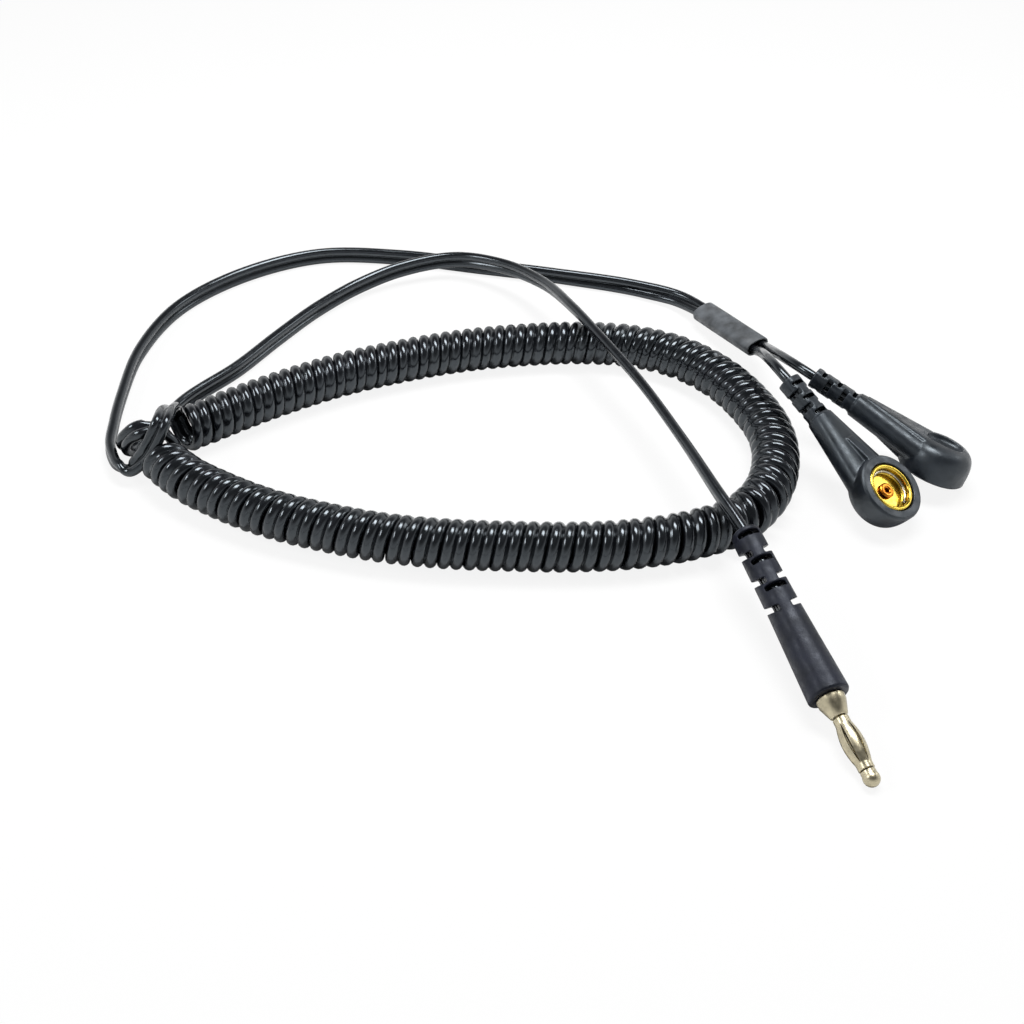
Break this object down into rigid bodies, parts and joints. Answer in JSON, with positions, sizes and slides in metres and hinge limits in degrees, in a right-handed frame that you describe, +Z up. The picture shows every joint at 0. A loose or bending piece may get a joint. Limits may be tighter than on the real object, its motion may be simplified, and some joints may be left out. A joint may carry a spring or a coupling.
{
  "type": "coiled ground cord",
  "caption": "Black curly twin ground cord with a banana plug on one tail and snap sockets on short leads on the other.",
  "frame": {"origin": "on the table, under the middle of the cord's outline as it lies", "axes": "+X along the longest side of the outline, from the joined ends of the curls to the snap sockets; +Y away from the plug; +Z up"},
  "size_m": [0.1914, 0.1739, 0.0199],
  "materials": {
    "jacket": "glossy black cord jacket",
    "sleeve": "matte dark grey shrink sleeve",
    "shell": "satin black moulding",
    "handle": "matte black moulding",
    "brass": "bright yellow brass",
    "copper": "reddish eyelet metal",
    "steel": "spring wire",
    "tin": "tinned terminal",
    "nickel": "nickel plated, warm tint",
    "spring": "nickel plated spring leaves",
    "resistor": "lacquered resistor body"
  },
  "bodies": {
    "cord": {"coil": "jacket", "snap_tail": "jacket", "plug_tail": "jacket", "front_lead": "jacket", "rear_lead": "jacket", "split_sleeve": "sleeve", "front_snap_body": "shell", "front_socket_cup": "brass", "front_eyelet": "copper", "front_lug": "tin", "front_resistor": "resistor", "front_ferrule": "tin", "rear_snap_body": "shell", "rear_socket_cup": "brass", "rear_eyelet": "copper", "rear_lug": "tin", "rear_resistor": "resistor", "rear_ferrule": "tin", "plug_handle": "handle", "plug_core": "nickel", "conductor_crimp": "tin"},
    "lantern": {"lantern_spring": "spring"},
    "front_ring": {"front_ring_spring": "steel"},
    "rear_ring": {"rear_ring_spring": "steel"}
  },
  "joints": [
    {"name": "lantern_turn", "type": "hinge", "parent": "cord", "child": "lantern", "pos_m": [0.05632, -0.07912, 0.00292], "axis": [0.3046, -0.9304, -0.204], "continuous": true},
    {"name": "front_ring_turn", "type": "hinge", "parent": "cord", "child": "front_ring", "pos_m": [0.07499, -0.01708, 0.00769], "axis": [0.4082, -0.3162, 0.8564], "continuous": true},
    {"name": "rear_ring_turn", "type": "hinge", "parent": "cord", "child": "rear_ring", "pos_m": [0.08782, -0.00517, 0.00398], "axis": [-0.316, -0.211, -0.925], "continuous": true}
  ]
}
